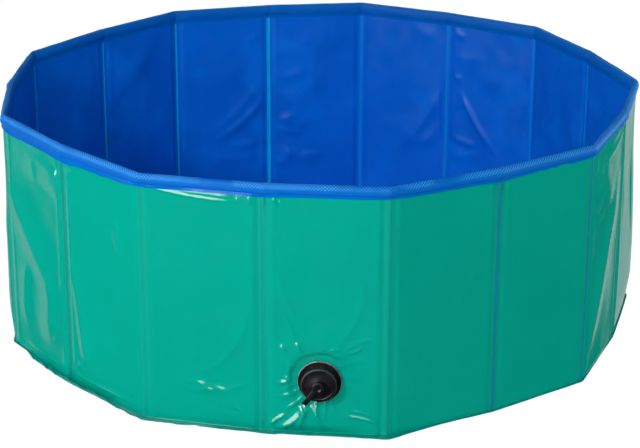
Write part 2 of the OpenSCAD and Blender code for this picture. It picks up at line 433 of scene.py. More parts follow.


# Moulded plastic or rubber: a fine even grain and slightly worn, dusty patches. rings are painted highlights,
# pale bands on rounded edges round the drain's axis, as radius and width in mm, and how pale.
def moulded(name, colour, worn, roughness, grain, specular, highlightRings=()):
    material, tree, shader, place = newMaterial(name, colour, roughness, specular)
    dust = rangeNode(tree, noiseNode(tree, place, 160.0, 4.0), 0.42, 0.75)
    base = mixColour(tree, dust, colour, worn)
    flat = vectorNode(tree, "MULTIPLY", place, (1, 0, 1)) if highlightRings else None
    # Painted highlights: each ring paints a pale band where a rounded edge would catch the light
    for radius, width, pale in highlightRings:
        away = vectorNode(tree, "DISTANCE", flat, (drainAxis.x, 0, drainAxis.z), "Value")
        off = mathNode(tree, "ABSOLUTE", mathNode(tree, "SUBTRACT", away, radius * mm))
        edge = rangeNode(tree, off, width * 0.5 * mm, width * mm, 1.0, 0.0)
        # the painted highlight is broken up by noise
        highlightBreakup = rangeNode(tree, noiseNode(tree, place, 220.0), 0.3, 0.6, 0.35, 1.0)
        base = mixColour(tree, times(tree, edge, highlightBreakup), base, (pale, pale, pale))
    tree.links.new(base, shader["Base Color"])
    rough = rangeNode(tree, noiseNode(tree, place, 90.0, 3.0), 0.3, 0.7, roughness * 0.85, roughness * 1.2)
    tree.links.new(rough, shader["Roughness"])
    tree.links.new(bumpNode(tree, noiseNode(tree, place, 2200.0), grain, 0.06 * mm), shader["Normal"])
    return material


# Pressed board: pale fibres in every direction
def pressedBoard(name):
    material, tree, shader, place = newMaterial(name, (0.42, 0.3, 0.18), 0.85, 0.3)
    fibres = addNode(tree, "ShaderNodeTexNoise", {"Vector": place, "Scale": 420.0, "Detail": 6.0,
                                                  "Distortion": 1.5}).outputs[0]
    flecks = rangeNode(tree, fibres, 0.35, 0.68)
    tree.links.new(mixColour(tree, flecks, (0.3, 0.2, 0.11), (0.5, 0.37, 0.23)), shader["Base Color"])
    tree.links.new(bumpNode(tree, fibres, 0.5, 0.2 * mm), shader["Normal"])
    return material


greenVinyl = vinyl("greenVinyl", (0.0, 0.405, 0.303), (0.0, 0.392, 0.294), 0.1, 0.5, 0.02, 0.06)
# Paler thread colours below: partly the scrim's own colour, partly a painted sheen on the weave
blueVinyl = vinyl("blueVinyl", (0.0, 0.164, 0.79), (0.0, 0.144, 0.72), 0.34, 0.14, 0.2, 0.1, 3.3 * mm,
                  (0.0, 0.235, 0.94), (0.52, 0.63))
rimVinyl = vinyl("rimVinyl", (0.0, 0.155, 0.63), (0.0, 0.14, 0.58), 0.16, 0.06, 0.3, 0.12, 2.6 * mm,
                 threadsAndSheen=(0.06, 0.42, 0.95), sheenPatches=(0.3, 0.42), zone=(17.5 * mm, 29.5 * mm),
                 matt=(5 * mm, 34.5 * mm, 0.55), cross=0.42)
greenWeld = weld("greenWeld", (0.0, 0.4, 0.298), (0.0, 0.36, 0.285), 0.2, 0.3)
deepWeld = weld("deepWeld", (0.0, 0.385, 0.285), (0.0, 0.29, 0.24), 0.2, 0.3)
tealWeld = weld("tealWeld", (0.0, 0.385, 0.285), (0.0, 0.28, 0.37), 0.24, 0.3)
blueWeld = weld("blueWeld", (0.0, 0.168, 0.82), (0.0, 0.25, 0.84), 0.25, 0.4)
# The bright and slim inner welds: a paler middle, partly the weld's lighter colour and partly a painted
# highlight
brightWeldAndHighlight = weld("brightWeldAndHighlight", (0.0, 0.168, 0.82), (0.0, 0.5, 0.96), 0.25, 0.4)
slimWeldAndHighlight = weld("slimWeldAndHighlight", (0.0, 0.16, 0.76), (0.0, 0.46, 0.8), 0.25, 0.3, 1.1 * mm)
hemVinyl = vinyl("hemVinyl", (0.0, 0.35, 0.28), (0.0, 0.29, 0.25), 0.14, 0.5, 0.04, 0.2)
floorVinyl = vinyl("floorVinyl", (0.0, 0.12, 0.6), (0.0, 0.105, 0.55), 0.32, 0.4, 0.25, 0.15, 3.3 * mm,
                   (0.0, 0.21, 0.8), (0.5, 0.6))
blackPlastic = moulded("blackPlastic", (0.005, 0.005, 0.0065), (0.011, 0.011, 0.013), 0.42, 0.12, 0.3)
blackRubber = moulded("blackRubber", (0.02, 0.02, 0.021), (0.045, 0.045, 0.045), 0.75, 0.5, 0.3)
# Painted highlights on the drain: pale rings on the flange's and the cap's rounded edges
drainPlastic = moulded("drainPlastic", (0.005, 0.005, 0.0065), (0.009, 0.009, 0.011), 0.38, 0.08, 0.28,
                       [(24.9, 0.55, 0.34), (19.8, 0.4, 0.08)])
fibreboard = pressedBoard("fibreboard")
print("finishes made")

# Folds set in the panel's own frame, in mm: x, z of both ends, width, height, bow
coverFolds = {
    1: [(16, 205, 52, 118, 5, 1.0, 6), (22, 150, 36, 108, 3.5, 1.0, -3), (112, 190, 84, 112, 6, 0.8, -9),
        (124, 120, 88, 100, 4, 0.9, 4), (14, 250, 26, 165, 6, -0.4, 5), (20, 45, 44, 58, 3, 0.9, 2),
        (16, 5, 44, 25, 4.2, 3.2, 1), (42, 5, 54, 36, 3.4, 3.0, -4), (55, 38, 75, 9, 3.2, 2.8, 3),
        (42, 36, 49, 22, 3.0, 2.4, 1), (6, 8, 27, 25, 2.4, 2.4, -2), (33, 66, 17, 61, 3.4, 2.2, 2),
        (38, 114, 44, 103, 2.6, 1.6, 1), (20, 109, 27, 103, 2.6, 1.5, 1), (112, 110, 96, 102, 2.6, 1.5, -1),
        (74, 103, 92, 107, 3.0, 1.0, -2), (30, 88, 36, 56, 3.2, 1.3, 3),
        (92, 24, 132, 15, 2.4, 2.0, -2), (96, 31, 128, 22, 2.2, 1.5, -2),
        (12, 283, 17, 272, 1.5, 1.0, 0), (19, 280, 23, 275, 1.6, 0.9, 0), (14, 240, 22, 238, 2, 0.7, 0)],
    18: [(16, 150, 78, 62, 7, 1.1, 14), (16, 60, 100, 48, 6, 1.1, 9), (40, 44, 96, 52, 5, 1.0, -5),
         (56, 46, 76, 55, 2.6, 1.3, 2), (66, 48, 74, 45, 2.4, 1.1, 0), (16, 24, 70, 30, 4, -0.6, 4),
         (124, 284, 30, 276, 1.9, 1.2, -2), (88, 283, 36, 280, 1.3, 0.8, 1), (16, 283, 12, 273, 1.7, 1.1, 0),
         (30, 281, 24, 274, 1.6, 1.0, 0), (24, 22, 34, 27, 2, 1.0, 0)],
    17: [(10, 14, 120, 12, 2.8, 1.5, 1), (37, 22, 15, 165, 14, 3.8, 2), (98, 230, 101, 186, 8, 1.8, 0),
         (9, 283, 17, 268, 1.5, 1.3, 2), (18, 270, 10, 261, 1.5, 1.1, 1), (22, 40, 30, 14, 4, 0.9, 2),
         (16, 24, 26, 32, 2.2, 1.2, 0), (110, 22, 122, 26, 2.2, 1.1, 0)],
    16: [(8, 13, 104, 15, 2.8, 1.3, 1), (136, 212, 46, 112, 24, 4.2, 3), (44, 122, 48, 34, 22, 3.8, 5),
         (96, 118, 104, 40, 13, 1.9, -4), (20, 266, 24, 232, 40, 2.6, 0), (70, 262, 66, 236, 9, 0.8, 0),
         (20, 66, 34, 40, 6, 0.9, 2)],
    15: [(30, 20, 46, 240, 12, 1.6, 9), (80, 40, 70, 270, 12, 1.6, -8), (110, 20, 118, 200, 10, 1.4, 6)],
    2: [(20, 205, 70, 130, 9, 0.6, 8), (90, 40, 125, 110, 8, 0.6, 6), (10, 283, 14, 274, 1.4, 0.8, 0)],
    3: [(24, 270, 60, 240, 6, 0.8, 5), (64, 279, 72, 272, 2.4, 1.1, 1), (30, 262, 66, 222, 5, 0.7, 4),
        (9, 284, 13, 270, 1.8, 1.3, 0)],
    4: [(22, 228, 138, 12, 24, 3.2, 0), (106, 264, 56, 200, 34, 2.4, 0),
        (10, 279, 104, 268, 2.8, 1.4, 5), (104, 268, 118, 250, 2.8, 1.3, 2),
        (122, 205, 76, 228, 5, 0.6, 2), (116, 190, 82, 204, 4, 0.5, 1), (124, 226, 92, 244, 4, 0.5, 1)],
    5: [(18, 270, 30, 140, 8, 1.2, 3), (60, 278, 90, 120, 9, -0.9, -8), (110, 270, 104, 60, 10, 1.2, 6)],
}
linerFolds = {
    10: [(14, 214, 109, 238, 12, -0.6, 5), (14, 180, 58, 196, 6, -0.55, 3), (12, 106, 50, 97, 4, -0.7, 2),
         (14, 116, 48, 130, 5, -0.5, 2), (18, 74, 76, 50, 5, -0.7, 3), (52, 66, 82, 62, 3.5, -0.6, 1),
         (26, 150, 92, 202, 12, 0.9, 4), (12, 50, 34, 76, 6, 0.9, 2), (20, 128, 60, 110, 7, 0.7, 2)],
    11: [(13, 176, 88, 102, 6, -0.75, 5), (11, 156, 80, 98, 5, 1.2, 4), (20, 82, 64, 84, 5, -0.7, 2),
         (16, 250, 36, 242, 4, -0.5, 1), (14, 62, 90, 66, 8, 0.7, -3), (40, 210, 110, 190, 16, 0.6, 8)],
    12: [(14, 226, 100, 266, 14, 0.8, 8), (16, 186, 80, 236, 12, -0.6, 6), (90, 130, 60, 60, 14, 0.6, 5),
         (14, 120, 50, 150, 8, 0.5, 4)],
    13: [(20, 130, 60, 210, 14, 0.7, 6), (80, 60, 110, 160, 14, -0.6, 5)],
    9: [(9, 186, 76, 78, 7, 1.0, 4), (12, 166, 66, 84, 6, -0.65, 4), (16, 100, 66, 92, 7, -0.6, 3),
        (18, 255, 60, 262, 8, -0.4, 2), (10, 132, 40, 90, 5, 0.6, 2), (90, 60, 60, 130, 12, 0.5, 4)],
    8: [(25, 180, 86, 94, 2.2, -0.75, 3), (22, 184, 84, 97, 4, 0.6, 3), (12, 270, 30, 262, 4, -0.6, 1),
        (14, 222, 66, 232, 8, -0.5, 2), (12, 200, 28, 201, 4, -0.6, 1), (12, 110, 56, 102, 4, -0.7, 2),
        (14, 84, 60, 96, 6, 0.8, 2), (60, 200, 100, 250, 14, 0.5, 6)],
    7: [(110, 250, 80, 120, 12, 0.5, 8), (40, 240, 30, 100, 12, 0.5, 6)],
    14: [(30, 120, 70, 220, 14, 0.6, 6)],
}
linerGain = 3.4                              # how much higher than given the liner's folds stand
crowned = {3: 1.0, 4: 2.0}                   # pockets that swell in the middle, in mm
bellied = {15: 6.5, 14: 2.0}                 # and those that swell only low down

# The green skin hangs slack of the wall low down beside the corner on the right
slack = {"from": -20, "to": 24, "easeIn": 22, "easeOut": 16, "out": 6.5 * mm,
         "full": 80 * mm, "none": 265 * mm, "atFoot": 0.4, "footBand": 45 * mm}


def slackOut(place):
    degrees = math.degrees(math.atan2(place.y, place.x))
    sideways = ease((degrees - slack["from"]) / slack["easeIn"])
    sideways *= ease((slack["to"] - degrees) / slack["easeOut"])
    high = 1 - ease((place.z - slack["full"]) / (slack["none"] - slack["full"]))
    held = slack["atFoot"] + (1 - slack["atFoot"]) * ease(place.z / slack["footBand"])
    return slack["out"] * sideways * high * held


def hangSlack(obj):
    for vertex in obj.data.vertices:
        out = Vector((vertex.co.x, vertex.co.y, 0)).normalized()
        vertex.co += out * slackOut(vertex.co)


# The other panels get a few soft folds that fan out from a lower corner
def someFolds(n, seed, height):
    rng = random.Random(100 * seed + n)
    folds = []
    for _ in range(4):
        x, z = rng.uniform(12, 30), rng.uniform(25, 120)
        angle, reach = rng.uniform(0.2, 1.1), rng.uniform(45, 95)
        folds.append((x, z, x + reach * math.cos(angle), z + reach * math.sin(angle),
                      rng.uniform(5, 11), rng.choice((-0.6, 1)) * height * rng.uniform(0.6, 1.1),
                      rng.uniform(-6, 9)))
    return folds


# A hollow in the liner can't be deep, so it is made by the ridge above it
def raised(fold):
    ax, az, bx, bz, width, height, bow = fold
    up = 1.2 * width if height < 0 else 0
    return ax, az + up, bx, bz + up, 1.9 * width, abs(height) * linerGain, bow


def foldHeight(folds, x, z):
    total = 0.0
    for ax, az, bx, bz, width, height, bow in folds:
        dx, dz = (bx - ax) * mm, (bz - az) * mm
        length = math.hypot(dx, dz)
        px, pz = x - ax * mm, z - az * mm
        t = (px * dx + pz * dz) / length ** 2
        if -0.1 < t < 1.1:
            across = (px * dz - pz * dx) / length - bow * mm * 4 * t * (1 - t)
            fade = ease((t + 0.1) / 0.35) * ease((1.1 - t) / 0.45)
            total += height * mm * fade / (1 + (across / (width * mm)) ** 2) ** 2
    return total


# Folds that run out from under the flange: direction, from, to, width, height (mm), and how far they curl
drainFolds = [(70, 28, 52, 4, 0.8, 50), (100, 28, 46, 4, 0.7, 40), (128, 28, 62, 4.5, 0.9, 22),
              (150, 27, 52, 4, 1.0, 14), (172, 27, 46, 3.4, 1.1, -8), (190, 26, 50, 3.4, 1.2, -12),
              (207, 27, 60, 3.4, 1.2, 8), (228, 28, 60, 2.8, 1.6, 12), (245, 27, 60, 2.6, 1.9, 12),
              (263, 27, 56, 2.6, 1.9, -8), (282, 27, 52, 2.8, 1.6, 12), (300, 27, 48, 3, 1.0, 18),
              (40, 28, 66, 4, 0.8, 26), (12, 28, 44, 5, 0.6, 10)]
# The skin is pulled in round the flange. Above and to the left it stands out in a soft swell that drops to the
# flange in one step, and below the flange it bellies out.
drainSwell = {"hollow": 0.72, "hollowTo": 46, "out": 3.0, "step": 31, "stepWidth": 6, "end": 80, "fade": 42,
              "fromAngle": 28, "toAngle": 245, "wander": 2.5,
              "below": 3.4, "belowTop": 46, "belowX": -14, "belowWide": 62}


def drainPull(x, z):
    dx, dz = x - (drainAxis.x - creaseIn.x), z - drainAxis.z
    r, swell = math.hypot(dx, dz) / mm, drainSwell
    if r > swell["end"]:
        return 0.0
    angle = math.degrees(math.atan2(dz, dx))
    turned, fromFoot, sideways = angle % 360, z / mm, abs(dx / mm - swell["belowX"]) / swell["belowWide"]
    level = -swell["hollow"] * ease((swell["hollowTo"] - r) / 22)
    side = ease((turned - swell["fromAngle"]) / 40) * ease((swell["toAngle"] - turned) / 34)
    step = swell["step"] + swell["wander"] * noise.noise(Vector((turned / 24, 4.0, 0)))
    rise = ease((r - step) / swell["stepWidth"]) * ease((swell["end"] - r) / swell["fade"])
    level += swell["out"] * side * rise
    belly = ease((swell["belowTop"] - fromFoot) / 32) * ease((fromFoot - 2) / 11) * ease(1.4 - sideways * 1.4)
    level += swell["below"] * belly
    for direction, near, far, width, height, curl in drainFolds:
        away = (angle - direction + curl * (r - near) / (far - near) * 0.6 + 180) % 360 - 180
        across = math.radians(away) * r / width
        fade = ease((r - near + 5) / 8) * ease((far - r) / (0.55 * (far - near)))
        level += height * fade / (1 + across * across) ** 2
    return level * mm


# Every pocket's own relief, in mm: a pressed lip inside the weld, two sizes of wave, small puckers below the
# rim at the inner corner, and how far it is drawn in at its top and foot
pocket = {"lip": 0.22, "lipIn": 7.5, "lipWide": 2.6, "wave": 0.55, "waveSize": 62,
          "crinkle": 0.22, "crinkleSize": 27, "pucker": 0.9, "puckerTo": 34, "puckerDeep": 13,
          "topIn": 0.7, "footIn": 0.8, "linerTopIn": 0.5, "linerFootIn": 0.6,
          "soft": 0.12, "fine": 1.2, "coarse": 2.6}


# How far a skin stands out from the middle of the wall
def skinLevel(n, x, z, side, folds, top):
    inFromEdge = min(x - wall["strip"], panelLength - wall["strip"] - x)
    swollen = ease(inFromEdge / wall["swell"])
    lip = pocket["lip"] * mm * math.exp(-((inFromEdge - pocket["lipIn"] * mm) / (pocket["lipWide"] * mm)) ** 2)
    fromTop, fromFoot = top - z, z - wallFoot
    calm = ease(inFromEdge / (6 * mm)) * ease(fromTop / (7 * mm)) * ease(fromFoot / (8 * mm))
    seed = 7.3 * n + (31 if side > 0 else 0)
    wave = pocket["wave"] * mm * ripple(x, seed, z, pocket["waveSize"] * mm)
    wave += pocket["crinkle"] * mm * ripple(x, seed, z + 3, pocket["crinkleSize"] * mm)
    level = wallHalf - wall["weldDrop"] * (1 - swollen) + lip + calm * (wave + foldHeight(folds, x, z))
    if side > 0:
        crown = crowned.get(n, 0) + bellied.get(n, 0) * ease(fromTop / (230 * mm)) * ease(fromFoot / (30 * mm))
        level += crown * mm * swollen * (1 - (2 * x / panelLength - 1) ** 2)
        near = ease(1 - x / (pocket["puckerTo"] * mm)) * ease(inFromEdge / (3 * mm))
        pucker = noise.noise(Vector((x / (5 * mm), seed, z / (22 * mm))))
        deep = math.exp(-(fromTop / (pocket["puckerDeep"] * mm)) ** 2)
        level += pocket["pucker"] * mm * near * deep * pucker
        level -= pocket["topIn"] * mm * (1 - ease(fromTop / (6 * mm)))
        level -= pocket["footIn"] * mm * (1 - ease(fromFoot / (5 * mm)))
        if n == 1:
            level += drainPull(x, z)
    else:
        level -= pocket["linerTopIn"] * mm * (1 - ease(fromTop / (5 * mm)))
        level -= pocket["linerFootIn"] * mm * (1 - ease(fromFoot / (5 * mm)))
    if inFromEdge > 5 * mm:                              # the skin never sinks into the board
        clear, soft = wall["boardClear"], pocket["soft"] * mm
        over = (level - clear) / soft
        level = clear + soft * (over if over > 20 else math.log1p(math.exp(over)))
    return level


def makePocket(n, side):
    green = side > 0
    node = "cover" if green else "liner"
    top = rimFoot + (4 if green else 1) * mm
    folds = (coverFolds if green else linerFolds).get(n) or someFolds(n, side, 0.9 if green else 0.8)
    if not green:
        folds = [raised(fold) for fold in folds]
    spacing = (pocket["fine"] if green and n in (1, 18) else pocket["coarse"]) * mm
    xs = stations(wall["strip"], panelLength - wall["strip"], 9 * mm, 9, spacing)
    zs = stations(wallFoot, top, 12 * mm, 9, spacing)
    if green:
        zs.reverse()
    path = [(Vector((x, 0, 0)), Vector((0, -side, 0)), x) for x in xs]

    def shape(s, point, place):
        return skinLevel(n, s, point[1], side, folds, top), 0.0

    obj = makeSheet(f"{node}Panel_{n:02d}", path, [(0.0, z) for z in zs], greenVinyl if green else blueVinyl,
                    shape, panelMatrix(n), wall["skin"])
    if n == 1:
        cutDrainHole(obj)
    if green:
        hangSlack(obj)
    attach(obj, bodyOf(n))
    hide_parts(f"{node}_{n:02d}")
    return obj


def cutDrainHole(obj):
    mesh = bmesh.new()
    mesh.from_mesh(obj.data)
    hole = 15.7 * mm                              # just outside the barrel

    def offset(co):
        return Vector((co.x - drainAxis.x, co.z - drainAxis.z))

    inside = [f for f in mesh.faces if offset(f.calc_center_median()).length < hole]
    bmesh.ops.delete(mesh, geom=inside, context="FACES")
    for vertex in mesh.verts:
        away = offset(vertex.co)
        if vertex.is_boundary and away.length < 2 * hole:
            away = away.normalized() * hole
            vertex.co.x, vertex.co.z = drainAxis.x + away.x, drainAxis.z + away.y
    for edge in mesh.edges:
        edge.smooth = not edge.is_boundary
    mesh.to_mesh(obj.data)
    mesh.free()


covers = {n: makePocket(n, 1) for n in range(1, panelCount + 1)}
print("green pockets made")
liners = {n: makePocket(n, -1) for n in range(1, panelCount + 1)}
print("blue pockets made")


# Welded strips at the fold lines
strips = {"over": 1.2 * mm, "bendOut": 0.9 * mm, "bendIn": 4 * mm, "tuck": 0.18 * mm, "thick": 0.6 * mm,
          "blend": 4.5 * mm, "wave": 0.16 * mm, "waveSize": 20 * mm, "groove": 0.35 * mm,
          "topCurl": 1.5 * mm, "footCurl": 1.0 * mm, "footCurlAt": 13 * mm,
          # bright and slim: corners whose inner weld has a paler middle, partly a painted highlight
          "teal": (2, 3, 6, 9, 13), "deep": (4, 11, 16), "bright": (1, 5, 10), "slim": (11, 12, 13)}


def bell(a, wide, b=0.0, high=1.0):
    return math.exp(-(a / wide) ** 2 - (b / high) ** 2)


# Fabric at a corner is one piece that stays where it is made; at the open corner it is in two halves,
# one carried by each of its two panels
def holdCorner(makeHalf, n, reach):
    first, second = bodyOf(n), bodyOf(nextPanel(n))
    if n == 10:
        near, far = makeHalf("a"), makeHalf("b")
        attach(near, first)
        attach(far, second)
        return [near, far]
    obj = makeHalf("")
    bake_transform(obj)
    return [obj]


def halfOf(path, part):
    middle = len(path) // 2
    return path[:middle + 1] if part == "a" else path[middle:] if part == "b" else path


def makeStrip(n, side):
    kind = cornerKind(n)
    level = (wallHalf - wall["weldDrop"] - strips["tuck"]) * side
    bend = strips["bendOut"] if kind == "out" else strips["bendIn"]
    reach = wall["strip"] + strips["over"]
    path = ringPath(kind, reach, level, bend, 0.6 * mm)
    top = rimFoot + 4 * mm
    zs = stations(wallFoot, top, 30 * mm, 14, 5 * mm)
    if side > 0:
        zs.reverse()
    section = [(0.0, z) for z in zs]
    puckers = random.Random(40 + n + (50 if side > 0 else 0))
    curlZ, curlX = top - puckers.uniform(9, 13) * mm, puckers.uniform(-2.4, 2.4) * mm

    def shape(s, point, place):
        z = point[1]
        held = ease((reach - abs(s)) / (3 * mm))
        out = strips["wave"] * ripple(place.x, place.y, z, strips["waveSize"])
        if kind == "in" and side > 0:            # the weld curls up near its ends
            out += strips["topCurl"] * bell(z - curlZ, 7 * mm, s - curlX, 1.5 * mm)
            out += strips["footCurl"] * bell(z - strips["footCurlAt"], 4 * mm, s + curlX, 1.6 * mm)
        if kind == "in":
            out -= side * strips["groove"] * bell(s, 0.7 * mm)
        return out * held, 0.0

    if side > 0:
        finish = tealWeld if n in strips["teal"] else deepWeld if n in strips["deep"] else greenWeld
    else:
        # the bright and slim inner welds carry a painted highlight in their paler middle
        finish = brightWeldAndHighlight if n in strips["bright"] else slimWeldAndHighlight if n in strips["slim"] else blueWeld

    def makeHalf(part):
        name = f"{'outer' if side > 0 else 'inner'}Strip_{n:02d}{part}"
        obj = makeSheet(name, halfOf(path, part), section, finish, shape, cornerMatrix(n), strips["thick"])
        if side > 0:
            hangSlack(obj)
        return obj

    return holdCorner(makeHalf, n, strips["blend"])


outerStrips = {n: makeStrip(n, 1) for n in range(1, panelCount + 1)}
innerStrips = {n: makeStrip(n, -1) for n in range(1, panelCount + 1)}
print("weld strips made")


# The rim is the blue skin folded over the top edge
rim = {"reach": panelLength / 2, "blend": 9 * mm, "bendOut": 5 * mm, "bendIn": 30 * mm,
       "wave": 0.45 * mm, "waveSize": 34 * mm, "crinkle": 0.28 * mm, "crinkleSize": 12 * mm,
       "cornerOut": 0.5 * mm, "gather": 0.55 * mm, "gatherSize": 2.6 * mm, "inside": 0.9 * mm,
       "flare": 1.5 * mm, "flareTop": 288.3 * mm, "flareHigh": 3.3 * mm,
       "deep": 4.2 * mm, "deepOut": 1.1 * mm, "deepWave": 1.6 * mm,
       "edgeDrop": 1.1 * mm, "edgeWave": 0.35 * mm, "edgeIn": {"in": 1.0 * mm, "out": 1.6 * mm}}
# In mm, out from the middle of the wall and up: from the weld inside, over the top, to the weld outside
rimLine = smoothLine([(-2.55, 281.5), (-2.6, 284.2), (-2.75, 285.6), (-3.35, 287.6), (-3.75, 290.5),
                      (-3.8, 293.2), (-3.35, 296.2), (-2.2, 298.6), (-0.4, 299.9), (1.6, 299.8),
                      (3.5, 298.6), (4.8, 296.4), (5.3, 293.8), (5.15, 291.6), (4.55, 289.8),
                      (3.7, 288.9), (3.25, 288.3), (3.2, 286.8), (3.2, 285.0)], 3)
rimSection = [(p.x * mm, p.y * mm) for p in rimLine]


# The fold over the top is soft and uneven. Its outer edge flares a little at the front left, lies deeper all
# round the left, and is drawn in at every corner.
def rimShape(kind):
    corner = 1 if kind == "in" else -1

    def shape(s, point, place):
        u, z = point
        x, y = place.x, place.y
        near = 1 - ease(abs(s) / (30 * mm))
        atCorner = 1 - ease(abs(s) / (9 * mm))
        high = ease((z - rimFoot) / (6 * mm))
        soft = rim["wave"] * ripple(x, y, place.z * 2, rim["waveSize"])
        soft += rim["crinkle"] * ripple(x, y, place.z * 2 + 5, rim["crinkleSize"])
        side = 1 if u > 0 else -1
        out = side * high * (1.2 * soft + rim["cornerOut"] * corner * near)
        up = 0.35 * high * soft
        if side > 0:
            degrees = math.degrees(math.atan2(y, x))
            flare = ease((degrees + 108) / 3) * ease((-94.5 - degrees) / 2)
            out += flare * rim["flare"] * min(max((rim["flareTop"] - z) / rim["flareHigh"], 0), 1)
            left = degrees if degrees < 0 else degrees - 360
            edge = 1 - high
            deep = ease((-104 - left) / 22) * ease((left + 235) / 25) * edge
            out += deep * rim["deepOut"] - edge * atCorner * rim["edgeIn"][kind]
            out += edge * rim["edgeWave"] * ripple(x, y, 3, 9 * mm)
            up -= deep * (rim["deep"] + rim["deepWave"] * ripple(x, y, 8, 22 * mm))
            up -= edge * corner * near * rim["edgeDrop"]
        else:
            out += (1 - high) * atCorner * rim["inside"]
        if kind == "in":                         # slack gathers at the inner corners
            gathers = math.sin(s / rim["gatherSize"]) * (1 - ease(abs(s) / (13 * mm)))
            out += side * high * rim["gather"] * gathers
        return out, up

    return shape


def makeRim(n):
    kind = cornerKind(n)
    bend = rim["bendOut"] if kind == "out" else rim["bendIn"]
    path = ringPath(kind, rim["reach"], 0.0, bend, 2 * mm, 10)

    def makeHalf(part):
        obj = makeSheet(f"rim_{n:02d}{part}", halfOf(path, part), rimSection, rimVinyl, rimShape(kind),
                        cornerMatrix(n), wall["skin"], n * panelLength)
        return obj

    return holdCorner(makeHalf, n, rim["blend"])


rims = {n: makeRim(n) for n in range(1, panelCount + 1)}
print("rim made")


# The hem goes round the foot of the wall, under it and a little outside it
hem = {"under": 5.5 * mm, "width": 12.5 * mm, "level": 0.95 * mm, "flatFrom": 2.5 * mm, "flat": 4.5 * mm,
       "lip": 6.5 * mm, "turn": 1.6, "wave": 1.4 * mm, "tuck": 2.4 * mm, "tuckEdge": 3.9 * mm,
       "thick": 0.8 * mm, "bendOut": 6 * mm, "bendIn": 20 * mm, "blend": 9 * mm, "ring": 0.4}


# Around the front left the hem turns up into a wavy lip; on the right it is drawn in under the wall
def hemShape(s, point, place):
    k, fromUnder = (point[0] - hem["flatFrom"]) / hem["flat"], point[0] + hem["under"]
    around = math.atan2(place.y, place.x)
    x, y = hem["ring"] * math.cos(around), hem["ring"] * math.sin(around)
    degrees = math.degrees(around)
    tucked = max(ease((degrees + 75) / 12) * ease((40 - degrees) / 20), ease((-144 - degrees) / 6),
                 ease((degrees - 150) / 8))
    loose = slackOut(place) * ease(fromUnder / (6 * mm)) - hem["tuck"] * tucked * ease(fromUnder / (8 * mm))
    if k <= 0:
        return loose, 0.0
    left = ease((degrees + 150) / 12) * ease((-112 - degrees) / 14)
    front = ease((degrees + 128) / 14) * ease((-74 - degrees) / 12)
    lip = left + 0.6 * front * (1 - left)
    lip = max(0.04, lip * (0.9 + 0.9 * ripple(x, y, 1.0, 40 * mm) + 0.5 * ripple(x, y, 2.0, 14 * mm)))
    turn = hem["turn"] * min(lip, 1.2)
    length = hem["flat"] + hem["lip"] * lip
    out = length * math.sin(turn * k) / turn - hem["flat"] * k
    up = length * (1 - math.cos(turn * k)) / turn
    free = k * (1 - 0.8 * tucked)
    out += (1.2 * mm * ripple(x, y, 5.0, 30 * mm) + 0.8 * mm * ripple(x, y, 6.0, 11 * mm)) * free
    out += loose - hem["tuckEdge"] * tucked * k
    up += hem["wave"] * max(0, ripple(x, y, 7.0, 26 * mm)) * free
    return out, up


def makeHem(n):
    kind = cornerKind(n)
    bend = hem["bendOut"] if kind == "out" else hem["bendIn"]
    path = ringPath(kind, panelLength / 2, wallHalf, bend, 2.2 * mm)
    section = [(-hem["under"] + hem["width"] * i / 15, hem["level"]) for i in range(16)]

    def makeHalf(part):
        obj = makeSheet(f"hem_{n:02d}{part}", halfOf(path, part), section, hemVinyl, hemShape,
                        cornerMatrix(n), hem["thick"])
        return obj

    return holdCorner(makeHalf, n, hem["blend"])


hems = {n: makeHem(n) for n in range(1, panelCount + 1)}

# The loose sheet lies in gores, one to a panel. Each laps its neighbours, more so towards the middle, so that
# none part when the wall is opened to a round. A crease is a direction, an offset in metres, and a width and
# height in mm.
floor = {"past": 40 * mm, "reach": 395 * mm, "disc": 75 * mm, "top": 1.0 * mm, "thick": 0.8 * mm,
         "lap": 8 * mm, "lapMiddle": 52 * mm, "step": 0.02 * mm, "keep": 0.02,
         "calmFrom": 385 * mm, "inWall": 0.5 * mm,
         "creases": ((0.4, 0.05, 6, 1.5), (1.5, -0.12, 8, 1.8), (2.4, 0.14, 5, 1.2), (3.3, 0.2, 7, 1.4))}


def floorHeight(x, y):
    calm = ease((floor["calmFrom"] - math.hypot(x, y)) / (30 * mm))
    rise = 2.4 * mm * ripple(x, y, 9.0, 150 * mm) + 1.4 * mm * ripple(x, y, 4.0, 60 * mm)
    for angle, offset, width, height in floor["creases"]:
        across = x * math.sin(angle) - y * math.cos(angle) - offset + 0.03 * math.sin(9 * (x + y) + angle)
        rise += height * mm / (1 + (across / (width * mm)) ** 2) ** 2
    return floor["top"] + max(0.0, rise) * calm


# A grid of rows by columns of points, each lifted to the floor's height
def makeFloorPiece(name, place, rows, columns, lift):
    mesh = bpy.data.meshes.new(name)
    flat = [place(i / (rows - 1), j / (columns - 1)) for i in range(rows) for j in range(columns)]
    points = [(x, y, floorHeight(x, y) + lift) for x, y in flat]
    starts = [i * columns + j for i in range(rows - 1) for j in range(columns - 1)]
    mesh.from_pydata(points, [], [(a, a + 1, a + columns + 1, a + columns) for a in starts])
    uvs = mesh.uv_layers.new(name="surface")
    for loop in mesh.loops:
        co = mesh.vertices[loop.vertex_index].co
        uvs.data[loop.index].uv = (co.x, co.y)
    mesh.materials.append(floorVinyl)
    if sum(face.normal.z * face.area for face in mesh.polygons) < 0:
        mesh.flip_normals()
    obj = finishSheet(name, mesh, floor["thick"])
    return obj


